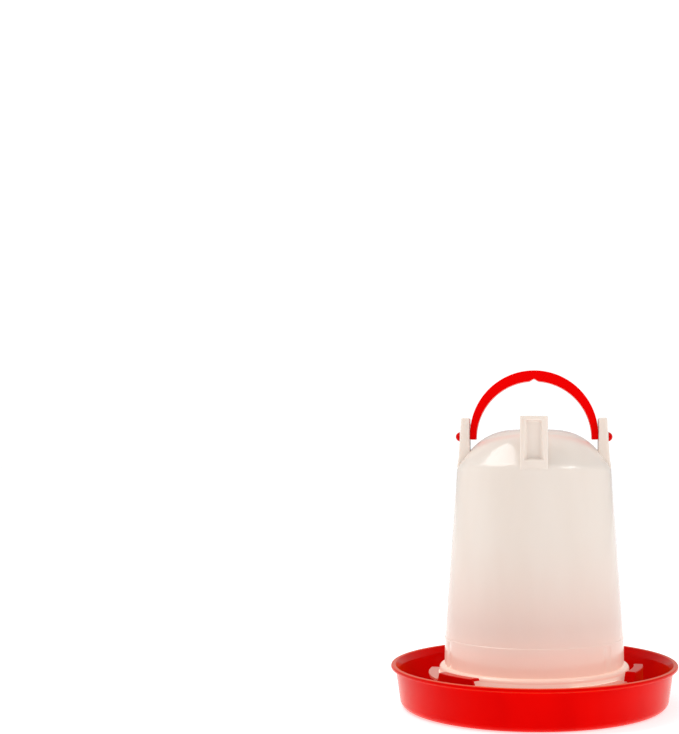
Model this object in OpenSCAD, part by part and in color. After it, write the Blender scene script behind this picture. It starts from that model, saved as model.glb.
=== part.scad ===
// Poultry waterer fount: a drinking tray, an inverted siphon tank that locks
// into it with a bayonet, and a carrying bail that swings on two stubs.
// Millimetres, +Z up, origin at the centre of the tray's underside, +X through
// the right-hand end of the bail, -Y towards the front.

/* [Tray] */
// Outer diameter of the tray over its rim
rim_d = 300; // [296:1:306]
// Height of the rim above the surface that the tray stands on
tray_h = 43.6; // [43:0.2:46]
// Diameter of the flat ring that the tray stands on
tray_foot_d = 267; // [260:1:270]
// Wall thickness of the tray
tray_wall = 2.3; // [1.8:0.1:2.6]
// Thickness of the tray floor
floor_t = 3; // [2.4:0.2:3]

/* [Bayonet] */
// Number of hooks on the tray, and of tabs on the tank
lock_count = 3; // [3:1:3]
// Height of the hooks above the underside of the tray
hook_h = 42.3; // [41:0.1:42.6]
// Radius over the outside of the hooks
hook_r = 113.8; // [113.6:0.2:116]
// Width of a hook at its top
hook_w = 47.5; // [44:0.5:48]
// Bearing of the first hook, seen from above
hook_at = 225.4; // [225:0.2:226]
// Radius over the tank's tabs
tab_r = 110.7; // [109:0.1:110.8]
// Height of the tabs' upper face above the underside of the tray
tab_top = 34.3; // [33:0.1:34.4]
// Bearings of the first tab's two ends, seen from above
tab_from = 171; // [168:1:172]
tab_to = 207; // [203:1:207]

/* [Tank] */
// Outer diameter of the tank at its foot
foot_d = 188.6; // [186:0.2:189]
// Outer diameter where the wall meets the shoulder
shoulder_d = 161.4; // [158:0.2:164]
// Height of the shoulder's edge
shoulder_z = 248.6; // [240:0.2:252]
// Height of the crown of the tank
crown_z = 287.8; // [286:0.2:289]
// Wall thickness of the tank
tank_wall = 2.2; // [1.6:0.1:2.4]
// Width and height of the water outlets in the tank's mouth
outlet_w = 16; // [12:1:20]
outlet_h = 17; // [12:1:20]

/* [Posts] */
// Height of the four posts that the tank stands on while it is filled
post_top = 299.5; // [297:0.5:302]
// Width of a post
post_w = 27.8; // [24:0.2:30]
// Distance from the tank's axis to the inner face of a post
post_in = 67.6; // [67.4:0.1:68]
// Distance from the axis to the outer face of a post at its top
post_out = 76.2; // [76:0.1:77]
// Width of the groove down the outer face of a post
groove_w = 13.4; // [13:0.2:16]

/* [Bail] */
// Height of the bail's swing axis
pivot_z = 279.8; // [279:0.2:281]
// Radius of the bail's outer edge
bail_r = 67.3; // [67:0.1:67.3]
// Height of the bail's highest point
bail_top = 349.6; // [347:0.2:352]
// Thickness of the bail at the middle of its crown
crown_t = 11.4; // [10:0.2:12]
// Thickness of the bail at its ends
bail_end_t = 5.4; // [5:0.1:6]
// Width of the bail from front to back
bail_w = 14; // [11:0.5:14]
// Radius of the stubs that the bail swings on
stub_r = 2.8; // [2.4:0.1:2.8]
// Radius of the domed caps on the stubs
cap_r = 4.9; // [4.6:0.1:5.4]

/* [Hidden] */
$fn = 96;
eps = 0.01;
step_deg = 6;            // angle of one step along a rounded corner

red = "red";
milk = [0.96, 0.93, 0.89];

rim_r = rim_d / 2;
foot_r = foot_d / 2;
shoulder_r = shoulder_d / 2;
lock_pitch = 360 / lock_count;

// Bayonet
bead_r = foot_r + 5;     // rounded bead round the tank's foot
bead_top = 42.3;
bead_round = 3.7;
bead_low = 32;
tab_t = 3;
hook_wall = 2.6;
hook_in = bead_r + 4.7;  // inner edge of a hook, clear of the bead
flange_t = 2.5;
hook_lean = 16;          // each end of a hook stands this much further out at the floor
ramp_gap = 0.7;          // play left over a tab at the closed end of a hook
ramp_in = 3;             // the ramp over the tab runs from this far outside the closed end's top
ramp_out = 6;            // to this far inside the open end's

// Tray
rim_band = 4.8;          // height of the rolled rim
seat_out = foot_r - tank_wall - 0.8;
seat_t = 2.4;
seat_h = 5;              // locating ring that the tank's mouth drops over

// Tank
skirt_z = 71.4;          // fine step round the wall above the skirt
skirt_r = foot_r - 0.6;
step_in = 0.4;
outlet_at = 30;          // bearing of the first water outlet
flute_r = 28;            // a wide, shallow groove about 11 across
flute_depth = 0.7;
flute_back = 5;          // degrees from the end of the tab below it
shoulder_round = 14;
crown_r = 50.2;          // where the crown and the sloping shoulder would meet
crown_fall = 1.4;        // fall of the crown from its centre to there
crown_round = 60;

// Posts
post_root = 246;
post_foot = 78.8;        // the outer face leans out to here at post_draft_z
post_draft_z = 258;
post_web = 5.4;
groove_top = post_top - 5;
groove_bottom = 257;
boss_r = 6;
boss_out = 78;
bore_r = stub_r + 0.06;  // running fit
bore_from = post_in - 4; // starts between the shoulder and the ear

// Bail
bail_in = bail_r - bail_end_t;
bail_mid_z = bail_top - bail_r;
bail_end_z = pivot_z - 3;
bail_end_round = 5;
inner_top = bail_top - crown_t;
inner_r = bail_in - 1.4;
inner_mid_z = inner_top - inner_r;
notch_w = 9.6;           // seat for a hanging hook
notch_h = 2.8;
end_out = 66;            // outer face of the bail's upright ends
cap_in = 78.2;
cap_h = 4.4;
cap_hole = 2.3;

// ---- outlines ----
function unit(v) = v / norm(v);
function left_of(a, b) = let(u = unit(b - a)) [-u[1], u[0]];

// The outline p moved sideways by t, to the left of its direction of travel
function moved(p, t) = [for (i = [0 : len(p) - 1])
    let(a = i > 0 ? left_of(p[i - 1], p[i]) : left_of(p[i], p[i + 1]),
        b = i < len(p) - 1 ? left_of(p[i], p[i + 1]) : a)
    p[i] + (a + b) * t / (1 + a * b)];

// Points of an arc
function arc(mid, r, from, to) =
    let(n = max(2, ceil(abs(to - from) / step_deg)))
    [for (i = [0 : n]) mid + r * [cos(from + (to - from) * i / n), sin(from + (to - from) * i / n)]];

// The open outline p with its inner corners rounded by the radii in r
function rounded(p, r) = [for (i = [0 : len(p) - 1])
    each (i == 0 || i == len(p) - 1 || r[i] <= 0) ? [p[i]] :
        let(a = left_of(p[i - 1], p[i]), b = left_of(p[i], p[i + 1]),
            side = (a[0] * b[1] - a[1] * b[0]) > 0 ? 1 : -1,
            mid = p[i] + (a + b) * side * r[i] / (1 + a * b),
            from = atan2(-side * a[1], -side * a[0]),
            turn = side * acos(min(1, a * b)))
        arc(mid, r[i], from, from + turn)];

// ---- tray ----
tray_foot_r = tray_foot_d / 2;
wall_r0 = tray_foot_r + 6.2;              // outer wall just above the base
wall_r1 = rim_r - 5;                      // outer wall just under the rim
wall_top = tray_h - rim_band;
tray_out = rounded(
    [[tray_foot_r - 9, 1.2], [tray_foot_r - 8, 0], [wall_r0 - 0.4, 0], [wall_r1, wall_top],
     [rim_r, wall_top + 1.6], [rim_r, tray_h], [wall_r1 + 0.2, tray_h], [wall_r1 - 3.4, wall_top - 2],
     [wall_r0 - tray_wall - 1, floor_t], [seat_out, floor_t]],
    [0, 0, 6.2, 0.8, 0.9, 1.9, 1.8, 6, 5, 0]);

module tray_shell() rotate_extrude()
    polygon(concat([[0, 1.2]], tray_out,
        [[seat_out, floor_t + seat_h - 0.6], [seat_out - 0.6, floor_t + seat_h],
         [seat_out - seat_t, floor_t + seat_h], [seat_out - seat_t, floor_t], [0, floor_t]]));

// The hook's outline from its end: trapezoid that stands wider at the floor
module hook_block(half_top, low) rotate([90, 0, 90]) linear_extrude(hook_r + 5)
    polygon([[-half_top - hook_lean, low], [half_top + hook_lean, low], [half_top, hook_h], [-half_top, hook_h]]);

// Space under a hook's flange: closed at one end, with a ramp over the tab
module hook_channel(half_top) rotate([90, 0, 90]) linear_extrude(hook_r + 5)
    polygon([[-half_top - hook_lean + hook_wall, floor_t], [half_top + 2 * hook_lean, floor_t],
             [half_top + 2 * hook_lean, hook_h - flange_t], [half_top - ramp_out, hook_h - flange_t],
             [-half_top + hook_wall - ramp_in, tab_top + ramp_gap]]);

// One hook: outer wall, top flange and one closed end
module hook() {
    low = floor_t - 1;
    difference() {
        intersection() {
            hook_block(hook_w / 2, low);
            rotate_extrude() polygon(rounded(
                [[hook_in, low], [hook_r, low], [hook_r, hook_h], [hook_in, hook_h], [hook_in, low]],
                [0, 0, 1, 0.8, 0]));
        }
        intersection() {
            hook_channel(hook_w / 2);
            cylinder(r = hook_r - hook_wall, h = tray_h);
        }
    }
}

module tray() color(red) {
    tray_shell();
    for (i = [0 : lock_count - 1]) rotate(hook_at + i * lock_pitch) hook();
}

// ---- tank ----
tank_out = [[foot_r, floor_t], [skirt_r, skirt_z - step_in], [skirt_r - step_in, skirt_z],
            [shoulder_r, shoulder_z], [crown_r, crown_z - crown_fall], [0, crown_z]];
tank_round = [0, 0, 0, shoulder_round, crown_round, 0];
tank_in = [for (p = moved(tank_out, tank_wall)) [max(0, p[0]), p[1]]];
tank_in_round = [for (r = tank_round) max(0, r - tank_wall)];

module tank_skin(out, corners) rotate_extrude()
    polygon(concat([[0, floor_t]], rounded(out, corners)));

module bead() rotate_extrude() polygon(concat(
    [[foot_r - 1, bead_low], [bead_r - 0.6, bead_low], [bead_r, bead_low + 0.6]],
    arc([bead_r - bead_round, bead_top - bead_round], bead_round, 0, 90),
    [[foot_r - 1, bead_top]]));

module tab() rotate(tab_from) rotate_extrude(angle = tab_to - tab_from)
    polygon([[foot_r - 1, tab_top - tab_t], [tab_r - 0.5, tab_top - tab_t], [tab_r, tab_top - tab_t + 0.5],
             [tab_r, tab_top - 0.5], [tab_r - 0.5, tab_top], [foot_r - 1, tab_top]]);

module post() difference() {
    rotate([90, 0, 0]) translate([0, 0, -post_w / 2]) linear_extrude(post_w)
        polygon([[post_in - 3, post_root], [shoulder_r - 0.6, post_root], [shoulder_r - 0.4, post_root + 3],
                 [post_foot, post_draft_z], [post_out, post_top - 1], [post_out - 1, post_top],
                 [post_in + 1, post_top], [post_in, post_top - 1], [post_in - 0.2, crown_z - 20]]);
    translate([post_in + post_web, -groove_w / 2, groove_bottom])
        cube([post_foot - post_in, groove_w, groove_top - groove_bottom]);
}

// Shallow upright groove in the skirt, over the end of each tab
module flute() rotate(tab_to - flute_back) translate([skirt_r - flute_depth + flute_r, 0, bead_top + 0.5])
    cylinder(r = flute_r, h = skirt_z - bead_top - 3);

module tank() color(milk) difference() {
    union() {
        tank_skin(tank_out, tank_round);
        bead();
        for (i = [0 : lock_count - 1]) rotate(i * lock_pitch) tab();
        for (i = [0 : 3]) rotate(90 * i) post();
        for (side = [0, 180]) rotate(side) translate([post_in + 1, 0, pivot_z])
            rotate([0, 90, 0]) cylinder(r = boss_r, h = boss_out - post_in - 1);
    }
    translate([0, 0, -eps]) tank_skin(tank_in, tank_in_round);
    for (side = [0, 180]) rotate(side) translate([bore_from, 0, pivot_z])
        rotate([0, 90, 0]) cylinder(r = bore_r, h = post_foot + 5 - bore_from);
    for (i = [0 : lock_count - 1]) rotate(outlet_at + i * lock_pitch)
        translate([foot_r - 12, -outlet_w / 2, 0]) cube([24, outlet_w, floor_t + outlet_h]);
    for (i = [0 : lock_count - 1]) rotate(i * lock_pitch) flute();
}

// ---- bail ----
module bail_outline() difference() {
    union() {
        translate([0, bail_mid_z]) circle(r = bail_r);
        translate([-end_out, bail_end_z]) square([2 * end_out, bail_mid_z - bail_end_z]);
    }
    translate([0, inner_mid_z]) circle(r = inner_r);
    translate([-inner_r, bail_end_z - 1]) square([2 * inner_r, inner_mid_z - bail_end_z + 1]);
    translate([-rim_r, bail_end_z - rim_r]) square([rim_d, rim_r]);
    polygon([[-notch_w / 2, inner_top - 1.2], [0, inner_top + notch_h], [notch_w / 2, inner_top - 1.2]]);
}

module bail() color(red) {
    intersection() {
        rotate([90, 0, 0]) translate([0, 0, -bail_w / 2]) linear_extrude(bail_w) bail_outline();
        rotate([90, 0, 90]) translate([0, 0, -rim_r]) linear_extrude(rim_d) bail_side();
    }
    for (side = [0, 180]) rotate(side) translate([end_out - 2, 0, pivot_z])
        rotate([0, 90, 0]) cylinder(r = stub_r, h = cap_in + cap_hole - end_out + 2);
}

// The bail seen from its end: upright strip with rounded lower corners
module bail_side() polygon(rounded(
    [[0, bail_end_z], [bail_w / 2, bail_end_z], [bail_w / 2, bail_top + 1],
     [-bail_w / 2, bail_top + 1], [-bail_w / 2, bail_end_z], [0, bail_end_z]],
    [0, bail_end_round, 0, 0, bail_end_round, 0]));

// ---- caps ----
dome_r = (cap_r * cap_r + cap_h * cap_h) / (2 * cap_h);
module pivot_cap() color(red) translate([cap_in, 0, pivot_z]) rotate([0, 90, 0]) difference() {
    rotate_extrude() polygon(concat([[0, 0]],
        arc([0, cap_h - dome_r], dome_r, asin((dome_r - cap_h) / dome_r), 90)));
    translate([0, 0, -1]) cylinder(r = stub_r, h = 1 + cap_hole);
}
module pivot_cap_right() pivot_cap();
module pivot_cap_left() rotate(180) pivot_cap();

tray();
tank();
bail();
pivot_cap_left();
pivot_cap_right();
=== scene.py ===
# A siphon drinker for poultry: milky tank, red tray, swinging bail with two domed caps.
# Metres, the frame's own axes: +Z up, +X through the right-hand end of the bail, -Y to the front.
import math

import bpy
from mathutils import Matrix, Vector


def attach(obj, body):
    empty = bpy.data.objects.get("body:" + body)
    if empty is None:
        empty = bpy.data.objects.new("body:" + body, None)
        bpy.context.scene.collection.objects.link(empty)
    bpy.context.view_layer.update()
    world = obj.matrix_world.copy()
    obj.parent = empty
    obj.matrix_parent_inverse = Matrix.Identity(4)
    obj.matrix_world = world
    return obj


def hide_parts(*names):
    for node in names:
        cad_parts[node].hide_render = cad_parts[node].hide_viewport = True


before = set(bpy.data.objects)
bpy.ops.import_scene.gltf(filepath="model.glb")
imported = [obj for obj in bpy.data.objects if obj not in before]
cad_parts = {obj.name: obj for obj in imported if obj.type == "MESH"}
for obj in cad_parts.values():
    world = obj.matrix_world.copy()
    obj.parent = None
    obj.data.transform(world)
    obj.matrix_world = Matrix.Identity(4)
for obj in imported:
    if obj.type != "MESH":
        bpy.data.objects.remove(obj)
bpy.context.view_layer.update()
mm = 0.001
print("frame loaded:", sorted(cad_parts))


# ---- outlines: lists of (across, up) points, round stretches worked out as arcs ----
def arcPoints(middle, radius, fromDegrees, toDegrees, stepDegrees=7.5):
    count = max(2, math.ceil(abs(toDegrees - fromDegrees) / stepDegrees))
    turns = [math.radians(fromDegrees + (toDegrees - fromDegrees) * i / count) for i in range(count + 1)]
    return [(middle[0] + radius * math.cos(t), middle[1] + radius * math.sin(t)) for t in turns]


def leftOf(a, b):  # one unit to the left of the way from a to b
    length = math.dist(a, b)
    return ((a[1] - b[1]) / length, (b[0] - a[0]) / length)


def movedLeft(points, distance):  # the same outline, one wall thickness inwards
    moved = []
    for i, point in enumerate(points):
        before = leftOf(points[i - 1], point) if i else leftOf(point, points[i + 1])
        after = leftOf(point, points[i + 1]) if i < len(points) - 1 else before
        reach = distance / (1 + before[0] * after[0] + before[1] * after[1])
        moved.append((point[0] + (before[0] + after[0]) * reach, point[1] + (before[1] + after[1]) * reach))
    return moved


def roundedCorners(points, radii):  # one radius for each corner, 0 keeps it sharp
    rounded = []
    for i, (point, radius) in enumerate(zip(points, radii)):
        if radius <= 0:
            rounded.append(point)
            continue
        before, after = leftOf(points[i - 1], point), leftOf(point, points[i + 1])
        cosine = before[0] * after[0] + before[1] * after[1]
        side = 1 if before[0] * after[1] > before[1] * after[0] else -1
        reach = side * radius / (1 + cosine)
        middle = (point[0] + (before[0] + after[0]) * reach, point[1] + (before[1] + after[1]) * reach)
        start = math.degrees(math.atan2(-side * before[1], -side * before[0]))
        rounded += arcPoints(middle, radius, start, start + side * math.degrees(math.acos(min(1, cosine))))
    return rounded


# ---- modelling moves ----
def deselectAll():
    if bpy.context.object and bpy.context.object.mode != "OBJECT":
        bpy.ops.object.mode_set(mode="OBJECT")
    bpy.ops.object.select_all(action="DESELECT")


def drawLine(name, places):  # a wire drawn by extruding one point; leaves edit mode on
    deselectAll()
    bpy.ops.mesh.primitive_plane_add(size=mm)
    piece = bpy.context.object
    piece.name = piece.data.name = name
    bpy.ops.object.mode_set(mode="EDIT")
    bpy.ops.mesh.select_mode(type="VERT")
    bpy.ops.mesh.merge(type="CENTER")
    bpy.ops.transform.translate(value=places[0])
    for here, there in zip(places, places[1:]):
        bpy.ops.mesh.extrude_region_move(TRANSFORM_OT_translate={"value": Vector(there) - Vector(here)})
    bpy.ops.mesh.select_all(action="SELECT")
    return piece


def tidyFaces():
    bpy.ops.mesh.select_all(action="SELECT")
    bpy.ops.mesh.remove_doubles(threshold=0.005 * mm)
    bpy.ops.mesh.normals_make_consistent(inside=False)
    bpy.ops.object.mode_set(mode="OBJECT")


def turnRound(name, outline, steps, fromDegrees=0, sweepDegrees=360):  # lathe work about Z
    angle = math.radians(fromDegrees)
    places = [(r * math.cos(angle), r * math.sin(angle), z) for r, z in outline]
    piece = drawLine(name, places)
    bpy.ops.mesh.spin(steps=steps, angle=math.radians(-sweepDegrees), center=(0, 0, 0), axis=(0, 0, 1))
    if sweepDegrees < 360:
        bpy.ops.mesh.select_all(action="SELECT")
        bpy.ops.mesh.remove_doubles(threshold=0.005 * mm)
        bpy.ops.mesh.fill_holes(sides=0)
    tidyFaces()
    return piece


def pushOut(name, places, push):  # a flat outline pushed into a block
    piece = drawLine(name, places)
    bpy.ops.mesh.edge_face_add()
    bpy.ops.mesh.extrude_region_move(TRANSFORM_OT_translate={"value": push})
    tidyFaces()
    return piece


def makeActive(piece):
    deselectAll()
    piece.select_set(True)
    bpy.context.view_layer.objects.active = piece


def chooseFaces(piece, wanted):
    makeActive(piece)
    bpy.ops.object.mode_set(mode="EDIT")
    bpy.ops.mesh.select_mode(type="FACE")
    bpy.ops.mesh.select_all(action="DESELECT")
    bpy.ops.object.mode_set(mode="OBJECT")
    for face in piece.data.polygons:
        face.select = wanted(face)
    bpy.ops.object.mode_set(mode="EDIT")


def finishWith(piece, kind, **settings):
    makeActive(piece)
    modifier = piece.modifiers.new(kind.lower(), kind)
    for key, value in settings.items():
        setattr(modifier, key, value)
    bpy.ops.object.modifier_apply(modifier=modifier.name)


def softenEdges(piece, width, segments=3, sharperThan=30):
    finishWith(piece, "BEVEL", width=width, segments=segments, limit_method="ANGLE",
               angle_limit=math.radians(sharperThan), use_clamp_overlap=True)


def carve(piece, tool, how="DIFFERENCE"):
    finishWith(piece, "BOOLEAN", operation=how, object=tool, solver="EXACT")
    bpy.data.objects.remove(tool)


def copiedRound(piece, degrees):  # a copy with a mesh of its own, turned about Z
    makeActive(piece)
    bpy.ops.object.duplicate(linked=False)
    twin = bpy.context.object
    twin.rotation_euler = (0, 0, math.radians(degrees))
    bpy.ops.object.transform_apply(location=False, rotation=True, scale=False)
    return twin


def joined(pieces, name):
    makeActive(pieces[0])
    for piece in pieces[1:]:
        piece.select_set(True)
    bpy.ops.object.join()
    pieces[0].name = pieces[0].data.name = name
    return pieces[0]


def smoothBelow(piece, degrees=32):
    makeActive(piece)
    bpy.ops.object.shade_smooth_by_angle(angle=math.radians(degrees))


# ---- materials: a socket that Python's own operators work on ----
class Wire:
    def __init__(self, bench, socket):
        self.bench, self.socket = bench, socket

    def calc(self, how, first, second):
        return self.bench.node("ShaderNodeMath", {"operation": how}, {0: first, 1: second})

    def __add__(self, other):
        return self.calc("ADD", self, other)

    def __rsub__(self, other):
        return self.calc("SUBTRACT", other, self)

    def __mul__(self, other):
        return self.calc("MULTIPLY", self, other)

    __radd__ = __add__
    __rmul__ = __mul__


class Bench:
    def __init__(self, name):
        self.material = bpy.data.materials.new(name)
        self.material.use_nodes = True
        self.tree = self.material.node_tree
        self.shader = self.tree.nodes["Principled BSDF"]
        self.place = self.node("ShaderNodeTexCoord", {}, {}, "Object")

    def node(self, kind, settings, inputs, out=0):
        made = self.tree.nodes.new(kind)
        for key, value in settings.items():
            setattr(made, key, value)
        for key, value in inputs.items():
            self.feed(made.inputs[key], value)
        return Wire(self, made.outputs[out])

    def feed(self, socket, value):
        if isinstance(value, Wire):
            self.tree.links.new(value.socket, socket)
        else:
            socket.default_value = value

    def finish(self, **inputs):
        for key, value in inputs.items():
            self.feed(self.shader.inputs[key.replace("_", " ")], value)
        return self.material

    def noise(self, scale, detail=3, roughness=0.5, stretch=(1, 1, 1)):
        where = self.node("ShaderNodeMapping", {}, {"Vector": self.place, "Scale": stretch})
        return self.node("ShaderNodeTexNoise", {},
                         {"Vector": where, "Scale": scale, "Detail": detail, "Roughness": roughness})

    def ramp(self, value, low, high):  # 0 below low, 1 above high, an easy curve between
        return self.node("ShaderNodeMapRange", {"interpolation_type": "SMOOTHSTEP"},
                         {"Value": value, "From Min": low, "From Max": high})

    def mix(self, share, first, second):
        return self.node("ShaderNodeMix", {"data_type": "RGBA"}, {0: share, 6: first, 7: second}, 2)

    def height(self):
        return self.node("ShaderNodeSeparateXYZ", {}, {"Vector": self.place}, "Z")

    def fromAxis(self):  # distance from the upright axis
        flat = self.node("ShaderNodeVectorMath", {"operation": "MULTIPLY"}, {0: self.place, 1: (1, 1, 0)})
        return self.node("ShaderNodeVectorMath", {"operation": "LENGTH"}, {0: flat}, "Value")

    def bump(self, heightMap, depth):
        return self.node("ShaderNodeBump", {}, {"Height": heightMap, "Distance": depth})


def fitMaterial(piece, material):
    piece.data.materials.clear()
    piece.data.materials.append(material)


def mouldedRed(name, looks):
    bench = Bench(name)
    flow = bench.noise(looks["flowScale"], 2, 0.5, (1, 1, 0.4))
    grain = bench.noise(looks["grainScale"], 4, 0.6)
    scuffs = bench.ramp(bench.noise(looks["scuffScale"], 6, 0.7, (1, 1, 3)), 0.58, 0.72)
    colour = bench.mix(bench.ramp(flow, 0.3, 0.7), looks["deep"], looks["bright"])
    height = bench.height()
    aboveRimHighlight = bench.ramp(height, looks["rimHighlightHigh"] + mm, looks["rimHighlightHigh"] + 2 * mm)
    paintedRimHighlight = bench.ramp(height, looks["rimHighlightLow"], looks["rimHighlightHigh"]) * (1 - aboveRimHighlight)  # a painted highlight along the tray's top edge
    colour = bench.mix(paintedRimHighlight, colour, looks["paintedRimHighlightColour"])
    rough = looks["roughness"] + grain * 0.05 + scuffs * looks["scuffs"]
    relief = grain * 0.35 + flow
    return bench.finish(Base_Color=colour, Roughness=rough, Normal=bench.bump(relief, looks["relief"]),
                        Specular_Tint=looks["sheenTint"], IOR=looks["ior"], Sheen_Weight=looks["bloom"],
                        Sheen_Roughness=0.35, Sheen_Tint=looks["bloomTint"])


red = {"deep": (0.71, 0.0006, 0.0006, 1), "bright": (0.79, 0.001, 0.0006, 1),
       "roughness": 0.10, "scuffs": 0.08, "flowScale": 22, "grainScale": 900, "scuffScale": 60,
       "relief": 0.02 * mm, "sheenTint": (1, 0.03, 0.02, 1), "ior": 1.24,
       "bloom": 0.42, "bloomTint": (1.0, 0.18, 0.02, 1),
       # the last three entries: a painted highlight along the tray's top edge
       "rimHighlightLow": 42.95 * mm, "rimHighlightHigh": 43.5 * mm, "paintedRimHighlightColour": (0.93, 0.08, 0.03, 1)}
bailRed = dict(red, deep=(0.86, 0.0006, 0.001, 1), bright=(0.93, 0.001, 0.001, 1))
capRed = dict(red, deep=(0.62, 0.0006, 0.001, 1), bright=(0.7, 0.001, 0.001, 1), roughness=0.09)


def milkyPlastic(name, looks):
    bench = Bench(name)
    height = bench.height()
    flow = bench.noise(looks["flowScale"], 3, 0.55, (1, 1, 0.25))
    grain = bench.noise(looks["grainScale"], 4, 0.6)
    clouds = bench.ramp(flow, 0.3, 0.7)
    upper = bench.mix(clouds, looks["cream"], looks["creamLight"])
    # painted red bounce: the lower tank is tinted pink, broadly up to 190 mm and more strongly below 84 mm,
    # for red light thrown up from the tray
    paintedBounceWide = 1 - bench.ramp(height, looks["wideBounceLow"], looks["wideBounceHigh"])
    paintedBounceNear = 1 - bench.ramp(height, looks["nearBounceLow"], looks["nearBounceHigh"])
    colour = bench.mix(paintedBounceWide * looks["wideBounceShare"] + paintedBounceNear * looks["nearBounceShare"], upper, looks["paintedBounceColour"])
    # painted light: the foot below the bead's crest is made lighter where it sits in the shade between the
    # tank and the tray's wall
    foot = 1 - bench.ramp(height, looks["footLightLow"], looks["footLightHigh"])
    colour = bench.mix(foot * looks["footLightShare"], colour, looks["paintedFootLightColour"])
    onTab = bench.ramp(bench.fromAxis(), looks["tabsFrom"], looks["tabsFrom"] + 0.6 * mm)
    # painted red light on the tabs, shining through them from the red tray below
    colour = bench.mix(onTab * foot, colour, looks["paintedTabRedColour"])
    paintedGlowMask = (1 - bench.ramp(height, looks["litLow"], looks["litHigh"])) * (1 - onTab)
    rough = looks["roughness"] + grain * 0.06 + clouds * 0.04
    relief = bench.bump(grain * 0.4 + flow, looks["relief"])
    paintedGlowThroughWall = bench.mix(paintedGlowMask, (0, 0, 0, 1), looks["paintedGlowColour"])  # painted glow: emission stands in for light from the tray behind the wall
    return bench.finish(Base_Color=colour, Roughness=rough, Normal=relief,
                        Emission_Color=paintedGlowThroughWall, Emission_Strength=1.0,
                        Subsurface_Weight=looks["softness"], Subsurface_Radius=looks["reach"],
                        Subsurface_Scale=looks["reachScale"], IOR=1.5)


milk = {"cream": (0.86, 0.755, 0.675, 1), "creamLight": (0.90, 0.80, 0.725, 1),
        # next two lines: the painted red bounce from the tray on the lower tank
        "wideBounceLow": 45 * mm, "wideBounceHigh": 190 * mm, "wideBounceShare": 0.30,
        "nearBounceLow": 30 * mm, "nearBounceHigh": 84 * mm, "nearBounceShare": 0.42, "paintedBounceColour": (0.86, 0.40, 0.32, 1),
        # painted light on the foot below the bead's crest
        "footLightLow": 37 * mm, "footLightHigh": 38.8 * mm, "footLightShare": 0.90, "paintedFootLightColour": (1.0, 0.82, 0.73, 1),
        # the tabs' colour: painted red light through them from the tray below
        "tabsFrom": 99.8 * mm, "paintedTabRedColour": (0.88, 0.28, 0.20, 1),
        # emission colour: a painted glow on the lower tank, standing in for light from the tray behind the
        # wall
        "litLow": 38 * mm, "litHigh": 95 * mm, "paintedGlowColour": (0.27, 0.24, 0.19, 1),
        "roughness": 0.10, "flowScale": 14, "grainScale": 700, "relief": 0.03 * mm,
        "softness": 0.6, "reach": (1.0, 0.95, 0.92), "reachScale": 3 * mm}


# ---- tray ----
tray = {"rimRadius": 150 * mm, "height": 43.6 * mm, "rimBand": 4.8 * mm, "wall": 2.3 * mm, "floor": 3 * mm,
        "footRadius": 131.5 * mm, "footRound": 8.2 * mm, "recess": 1.2 * mm, "recessEdge": 6 * mm,
        "seatRadius": 91.3 * mm, "seatThick": 2.4 * mm, "seatHeight": 5 * mm,
        "hooks": 3, "hookAt": 225.4, "hookTop": 42.3 * mm, "hookRadius": 113.8 * mm, "hookInner": 104 * mm,
        "hookHalf": 23.75 * mm, "hookWall": 2.6 * mm, "hookFlange": 2.5 * mm, "hookLean": 16 * mm,
        "rampLow": 35 * mm, "rampIn": 3 * mm, "rampOut": 6 * mm, "steps": 192}


def trayOutline(size):
    foot, rim, top, floor = size["footRadius"], size["rimRadius"], size["height"], size["floor"]
    wallFoot, wallTop, bandFoot = foot + size["footRound"], rim - 5 * mm, top - size["rimBand"]
    recessRadius = foot - size["recessEdge"]
    shell = roundedCorners(
        [(0, size["recess"]), (recessRadius - mm, size["recess"]), (recessRadius, 0),
         (wallFoot - 0.4 * mm, 0), (wallTop, bandFoot), (rim, bandFoot + 1.6 * mm), (rim, top),
         (wallTop + 0.2 * mm, top),
         (wallTop - 3.4 * mm, bandFoot - 2 * mm), (wallFoot - size["wall"] - mm, floor),
         (size["seatRadius"], floor)],
        [0, 0.5 * mm, 0.6 * mm, size["footRound"], 0.8 * mm, 0.9 * mm, 1.9 * mm, 1.8 * mm, 6 * mm, 5 * mm, 0])
    seatTop, seatIn = floor + size["seatHeight"], size["seatRadius"] - size["seatThick"]
    ring = roundedCorners(
        [(size["seatRadius"], floor), (size["seatRadius"], seatTop), (seatIn, seatTop), (seatIn, floor),
         (0, floor)], [0, 0.6 * mm, 0.6 * mm, 0, 0])
    return shell + ring[1:]


def trayHook(size):
    half, lean, low, top = size["hookHalf"], size["hookLean"], size["floor"] - mm, size["hookTop"]
    reach, wall = size["hookRadius"] + 5 * mm, size["hookWall"]
    block = pushOut("hook", [(0, -half - lean, low), (0, half + lean, low), (0, half, top), (0, -half, top)],
                    (reach, 0, 0))
    ring = turnRound("hook_ring", roundedCorners(
        [(size["hookInner"], low), (size["hookRadius"], low), (size["hookRadius"], top),
         (size["hookInner"], top), (size["hookInner"], low)], [0, 0, mm, 0.8 * mm, 0]), size["steps"])
    carve(block, ring, "INTERSECT")
    under = top - size["hookFlange"]
    channel = pushOut("hook_channel", [
        (0, wall - half - lean, low - mm), (0, half + 2 * lean, low - mm), (0, half + 2 * lean, under),
        (0, half - size["rampOut"], under), (0, wall - half - size["rampIn"], size["rampLow"])],
        (reach, 0, 0))
    deselectAll()
    bpy.ops.mesh.primitive_cylinder_add(vertices=size["steps"], radius=size["hookRadius"] - wall, depth=reach)
    carve(channel, bpy.context.object, "INTERSECT")
    carve(block, channel)
    softenEdges(block, 0.45 * mm, 2, 40)
    return block


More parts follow.
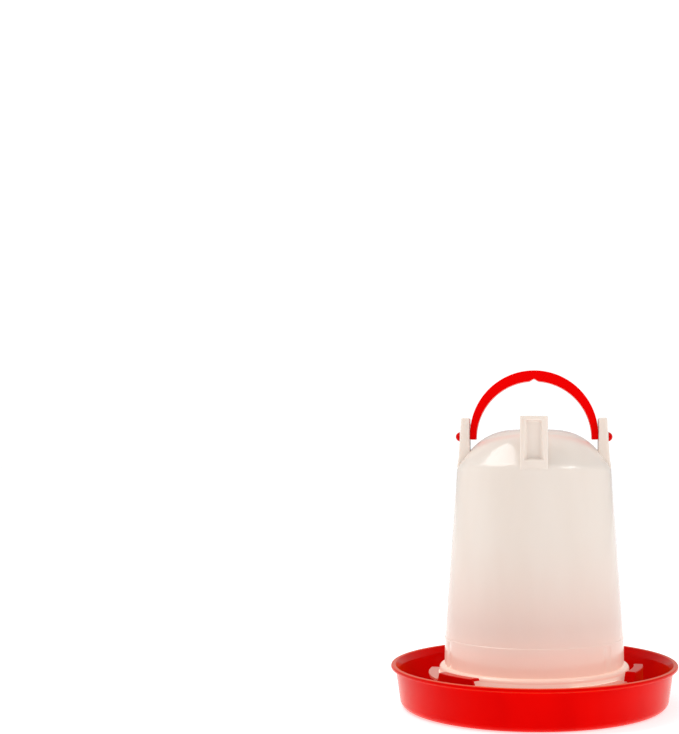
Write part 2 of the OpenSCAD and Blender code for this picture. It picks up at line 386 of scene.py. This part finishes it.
def makeTray(size):
    shell = turnRound("drinking_tray", trayOutline(size), size["steps"])
    hook = trayHook(size)
    pitch = 360 / size["hooks"]
    hooks = [copiedRound(hook, size["hookAt"] + i * pitch) for i in range(size["hooks"])]
    bpy.data.objects.remove(hook)
    whole = joined([shell] + hooks, "drinking_tray")
    smoothBelow(whole)
    fitMaterial(whole, mouldedRed("red_tray_plastic", red))
    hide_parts("tray")
    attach(whole, "tray")
    print("tray made:", len(whole.data.polygons), "faces")


# ---- tank ----
tank = {"footRadius": 94.3 * mm, "foot": 3 * mm, "wall": 2.2 * mm, "steps": 192,
        "shoulderRadius": 80.7 * mm, "shoulder": 248.6 * mm, "shoulderRound": 14 * mm,
        "crown": 287.8 * mm, "crownRadius": 50.2 * mm, "crownFall": 1.4 * mm, "crownRound": 60 * mm,
        "skirt": 71.4 * mm, "skirtIn": 0.6 * mm, "step": 0.4 * mm,
        "beadOut": 5 * mm, "beadLow": 32 * mm, "beadTop": 42.3 * mm, "beadRound": 3.7 * mm,
        "tabs": 3, "tabFrom": 171, "tabTo": 207, "tabRadius": 110.7 * mm, "tabTop": 34.3 * mm,
        "tabThick": 3 * mm, "fluteAt": 202, "fluteRadius": 28 * mm, "fluteDepth": 0.7 * mm,
        "fluteLow": 42 * mm, "fluteTop": 69 * mm,
        "outletWidth": 16 * mm, "outletTop": 20 * mm, "outletDeep": 24 * mm, "outletAt": 30}
post = {"top": 299.5 * mm, "root": 246 * mm, "width": 27.8 * mm, "inner": 67.6 * mm, "outer": 76.2 * mm,
        "footOuter": 78.8 * mm, "draftFrom": 258 * mm, "web": 5.4 * mm,
        "grooveWidth": 13.4 * mm, "grooveLow": 257 * mm, "grooveTop": 294.5 * mm, "grooveDeep": 20 * mm,
        "grooveFlare": 2.6, "grooveFlareUp": 1.3, "bossRadius": 6 * mm, "bossOut": 78 * mm,
        "bore": 2.86 * mm, "boreFrom": 63 * mm, "boreTo": 85 * mm, "pivot": 279.8 * mm}


def tankOutline(size):
    foot, skirtRadius = size["footRadius"], size["footRadius"] - size["skirtIn"]
    beadRadius, step = foot + size["beadOut"], size["step"]
    corners = [(foot, size["foot"]), (skirtRadius, size["skirt"] - step), (skirtRadius - step, size["skirt"]),
               (size["shoulderRadius"], size["shoulder"]),
               (size["crownRadius"], size["crown"] - size["crownFall"]), (0, size["crown"])]
    radii = [0, 0, 0, size["shoulderRound"], size["crownRound"], 0]
    outer = roundedCorners(corners, radii)
    inner = roundedCorners([(max(0, r), z) for r, z in movedLeft(corners, size["wall"])],
                           [max(0, r - size["wall"]) for r in radii])
    turn = size["beadRound"]
    bead = [(foot - 0.2 * mm, size["beadLow"]), (beadRadius - 0.6 * mm, size["beadLow"]),
            (beadRadius, size["beadLow"] + 0.6 * mm)]
    bead += arcPoints((beadRadius - turn, size["beadTop"] - turn), turn, 0, 90)
    bead += [(foot - 0.4 * mm, size["beadTop"])]
    return [outer[0]] + bead + outer[1:] + inner[::-1] + [outer[0]]


def addBlock(middle, spans):
    deselectAll()
    bpy.ops.mesh.primitive_cube_add(size=1, location=middle, scale=spans)
    bpy.ops.object.transform_apply()
    return bpy.context.object


def addRod(radius, fromX, toX, height, sides=64):  # a round rod lying along X
    deselectAll()
    bpy.ops.mesh.primitive_cylinder_add(vertices=sides, radius=radius, depth=abs(toX - fromX),
                                        location=((fromX + toX) / 2, 0, height),
                                        rotation=(0, math.radians(90), 0))
    bpy.ops.object.transform_apply()
    return bpy.context.object


def tankPost(size):
    half, top, inner = size["width"] / 2, size["top"], size["inner"]
    side = [(inner - 3 * mm, size["root"]), (tank["shoulderRadius"] - 0.6 * mm, size["root"]),
            (tank["shoulderRadius"] - 0.4 * mm, size["root"] + 3 * mm),
            (size["footOuter"], size["draftFrom"]), (size["outer"], top), (inner, top),
            (inner - 0.2 * mm, tank["crown"] - 20 * mm)]
    made = pushOut("post", [(x, -half, z) for x, z in side], (0, size["width"], 0))
    middle = (size["grooveLow"] + size["grooveTop"]) / 2
    groove = addBlock((inner + size["web"] + size["grooveDeep"] / 2, 0, middle),
                      (size["grooveDeep"], size["grooveWidth"], size["grooveTop"] - size["grooveLow"]))
    chooseFaces(groove, lambda face: face.normal.x > 0.9)  # the mouth of the groove flares outwards
    flare = (1, size["grooveFlare"], size["grooveFlareUp"])
    bpy.ops.transform.resize(value=flare, center_override=(0, 0, middle))
    bpy.ops.object.mode_set(mode="OBJECT")
    carve(made, groove)
    softenEdges(made, 1.3 * mm, 4, 35)
    return made


def makeTab(size):
    inner, outer, top = size["footRadius"] - mm, size["tabRadius"], size["tabTop"]
    low = top - size["tabThick"]
    outline = roundedCorners([(inner, low), (outer, low), (outer, top), (inner, top), (inner, low)],
                             [0, 0.5 * mm, 0.5 * mm, 0, 0])
    return turnRound("tab", outline, 18, size["tabFrom"], size["tabTo"] - size["tabFrom"])


def makeFlute(size):
    middle = size["footRadius"] - size["skirtIn"] - size["fluteDepth"] + size["fluteRadius"]
    low, top = size["fluteLow"], size["fluteTop"]
    deselectAll()
    bpy.ops.mesh.primitive_cylinder_add(vertices=96, radius=size["fluteRadius"], depth=top - low,
                                        location=(middle, 0, (low + top) / 2))
    bpy.ops.object.transform_apply()
    return bpy.context.object


def makeTank(size):
    whole = turnRound("siphon_tank", tankOutline(size), size["steps"])
    tab = makeTab(size)
    flute = makeFlute(size)
    outlet = addBlock((size["footRadius"], 0, 0),
                      (size["outletDeep"], size["outletWidth"], 2 * size["outletTop"]))
    upright = tankPost(post)
    for i in range(4):
        carve(whole, copiedRound(upright, 90 * i), "UNION")
    for side in (-1, 1):
        boss = addRod(post["bossRadius"], side * (post["inner"] + mm), side * post["bossOut"], post["pivot"])
        softenEdges(boss, 0.5 * mm, 3, 40)
        carve(whole, boss, "UNION")
        carve(whole, addRod(post["bore"], side * post["boreFrom"], side * post["boreTo"], post["pivot"]))
    pitch = 360 / size["tabs"]
    for i in range(size["tabs"]):
        carve(whole, copiedRound(tab, i * pitch), "UNION")
        carve(whole, copiedRound(outlet, size["outletAt"] + i * pitch))
        carve(whole, copiedRound(flute, size["fluteAt"] + i * pitch))
    for spare in (tab, outlet, flute, upright):
        bpy.data.objects.remove(spare)
    smoothBelow(whole)
    fitMaterial(whole, milkyPlastic("milky_tank_plastic", milk))
    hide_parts("tank")
    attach(whole, "tank")
    print("tank made:", len(whole.data.polygons), "faces")


# ---- bail and its caps ----
bail = {"outer": 67.3 * mm, "top": 349.55 * mm, "crownThick": 11.4 * mm, "inner": 60.5 * mm,
        "end": 276.8 * mm, "width": 14 * mm, "notchWidth": 9.6 * mm, "notchHigh": 2.8 * mm,
        "stub": 2.8 * mm, "stubFrom": 64 * mm, "stubEnd": 80.5 * mm, "pivot": 279.8 * mm}
cap = {"radius": 4.9 * mm, "height": 4.4 * mm, "inner": 78.2 * mm, "hole": 2.3 * mm}


def makeBail(size):
    outerMiddle, innerTop = size["top"] - size["outer"], size["top"] - size["crownThick"]
    innerMiddle, half = innerTop - size["inner"], size["width"] / 2
    drop = math.degrees(math.asin((outerMiddle - size["end"]) / size["outer"]))
    notchFoot = math.degrees(math.acos(size["notchWidth"] / 2 / size["inner"]))
    outline = arcPoints((0, outerMiddle), size["outer"], -drop, 180 + drop, 3)
    outline += [(-size["inner"], size["end"])]
    outline += arcPoints((0, innerMiddle), size["inner"], 180, 180 - notchFoot, 3)
    outline += [(0, innerTop + size["notchHigh"])]
    outline += arcPoints((0, innerMiddle), size["inner"], notchFoot, 0, 3)
    outline += [(size["inner"], size["end"])]
    whole = pushOut("bail", [(x, -half, z) for x, z in outline + outline[:1]], (0, size["width"], 0))
    softenEdges(whole, 1.0 * mm, 3, 40)
    for side in (-1, 1):
        stub = addRod(size["stub"], side * size["stubFrom"], side * size["stubEnd"], size["pivot"], 48)
        softenEdges(stub, 0.3 * mm, 2, 40)
        carve(whole, stub, "UNION")
    whole = joined([whole], "carrying_bail")
    smoothBelow(whole)
    fitMaterial(whole, mouldedRed("red_bail_plastic", bailRed))
    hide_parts("bail")
    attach(whole, "bail")
    print("bail made:", len(whole.data.polygons), "faces")


def makeCap(size, side, node):
    radius, rise = size["radius"], size["height"]
    domeRadius = (radius * radius + rise * rise) / (2 * rise)
    edge = math.degrees(math.asin((domeRadius - rise) / domeRadius))
    dome = arcPoints((0, rise - domeRadius), domeRadius, edge, 90, 5)
    mouth = roundedCorners([(bail["stub"], size["hole"]), (bail["stub"], 0), (radius, 0)], [0, 0.2 * mm, 0])
    whole = turnRound("cap", [(0, size["hole"])] + mouth + dome[1:], 64)
    makeActive(whole)
    whole.rotation_euler = (0, side * math.radians(90), 0)
    whole.location = (side * size["inner"], 0, bail["pivot"])
    bpy.ops.object.transform_apply()
    whole.name = whole.data.name = "domed_" + node
    smoothBelow(whole)
    fitMaterial(whole, mouldedRed("red_" + node, capRed))
    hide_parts(node)
    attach(whole, "bail")
    print("cap made:", node)


makeTray(tray)
makeTank(tank)
makeBail(bail)
makeCap(cap, -1, "pivot_cap_left")
makeCap(cap, 1, "pivot_cap_right")

# ---- studio: a level camera, a bright white sky, a pale floor that glows a little ----
studio = {"distance": 1.254, "eyeHeight": 0.259, "lens": 58.3, "shiftX": -0.205, "shiftY": 0.0994,
          "turnLeft": 2.12, "tiltUp": 0.8, "skyLight": 0.53, "skySeen": 1.1,
          "floorPale": (0.93, 0.93, 0.93, 1), "floorPaler": (0.95, 0.95, 0.95, 1), "floorGlow": 0.53,
          "floorSize": 60, "floorDrop": 0.3 * mm}


def makeFloor(look):
    deselectAll()
    bpy.ops.mesh.primitive_plane_add(size=look["floorSize"], location=(0, 0, -look["floorDrop"]))
    floor = bpy.context.object
    floor.name = "floor"
    bench = Bench("pale_floor")
    colour = bench.mix(bench.noise(60), look["floorPale"], look["floorPaler"])
    fitMaterial(floor, bench.finish(Base_Color=colour, Roughness=0.8, Emission_Color=(1, 1, 1, 1),
                                    Emission_Strength=look["floorGlow"]))


def makeCamera(look):
    turn = (math.radians(90 + look["tiltUp"]), 0, math.radians(look["turnLeft"]))
    bpy.ops.object.camera_add(location=(0, -look["distance"], look["eyeHeight"]), rotation=turn)
    camera = bpy.context.object
    camera.data.lens = look["lens"]
    camera.data.shift_x = look["shiftX"]
    camera.data.shift_y = look["shiftY"]
    bpy.context.scene.camera = camera
    bpy.context.scene.view_settings.view_transform = "Standard"


def makeSky(look):
    world = bpy.data.worlds.new("studio")
    bpy.context.scene.world = world
    world.use_nodes = True
    tree = world.node_tree
    sky = tree.nodes["Background"]
    sky.inputs["Color"].default_value = (1, 1, 1, 1)
    seen = tree.nodes.new("ShaderNodeLightPath")
    strength = tree.nodes.new("ShaderNodeMapRange")
    strength.inputs["To Min"].default_value = look["skyLight"]
    strength.inputs["To Max"].default_value = look["skySeen"]
    tree.links.new(seen.outputs["Is Camera Ray"], strength.inputs["Value"])
    tree.links.new(strength.outputs["Result"], sky.inputs["Strength"])


def softLight(name, place, aim, width, depth, power):
    bpy.ops.object.light_add(type="AREA", location=place)
    lamp = bpy.context.object
    lamp.name = name
    lamp.data.shape = "RECTANGLE"
    lamp.data.size = width
    lamp.data.size_y = depth
    lamp.data.energy = power
    lamp.rotation_euler = (Vector(aim) - Vector(place)).to_track_quat("-Z", "Y").to_euler()


makeFloor(studio)
makeCamera(studio)
makeSky(studio)
softLight("key_softbox", (-0.66, -0.08, 1.22), (0, 0, 0.25), 0.8, 0.6, 6.3)
softLight("side_softbox", (0.86, -0.48, 0.94), (0, 0, 0.25), 0.55, 0.4, 2.9)
print("studio ready")
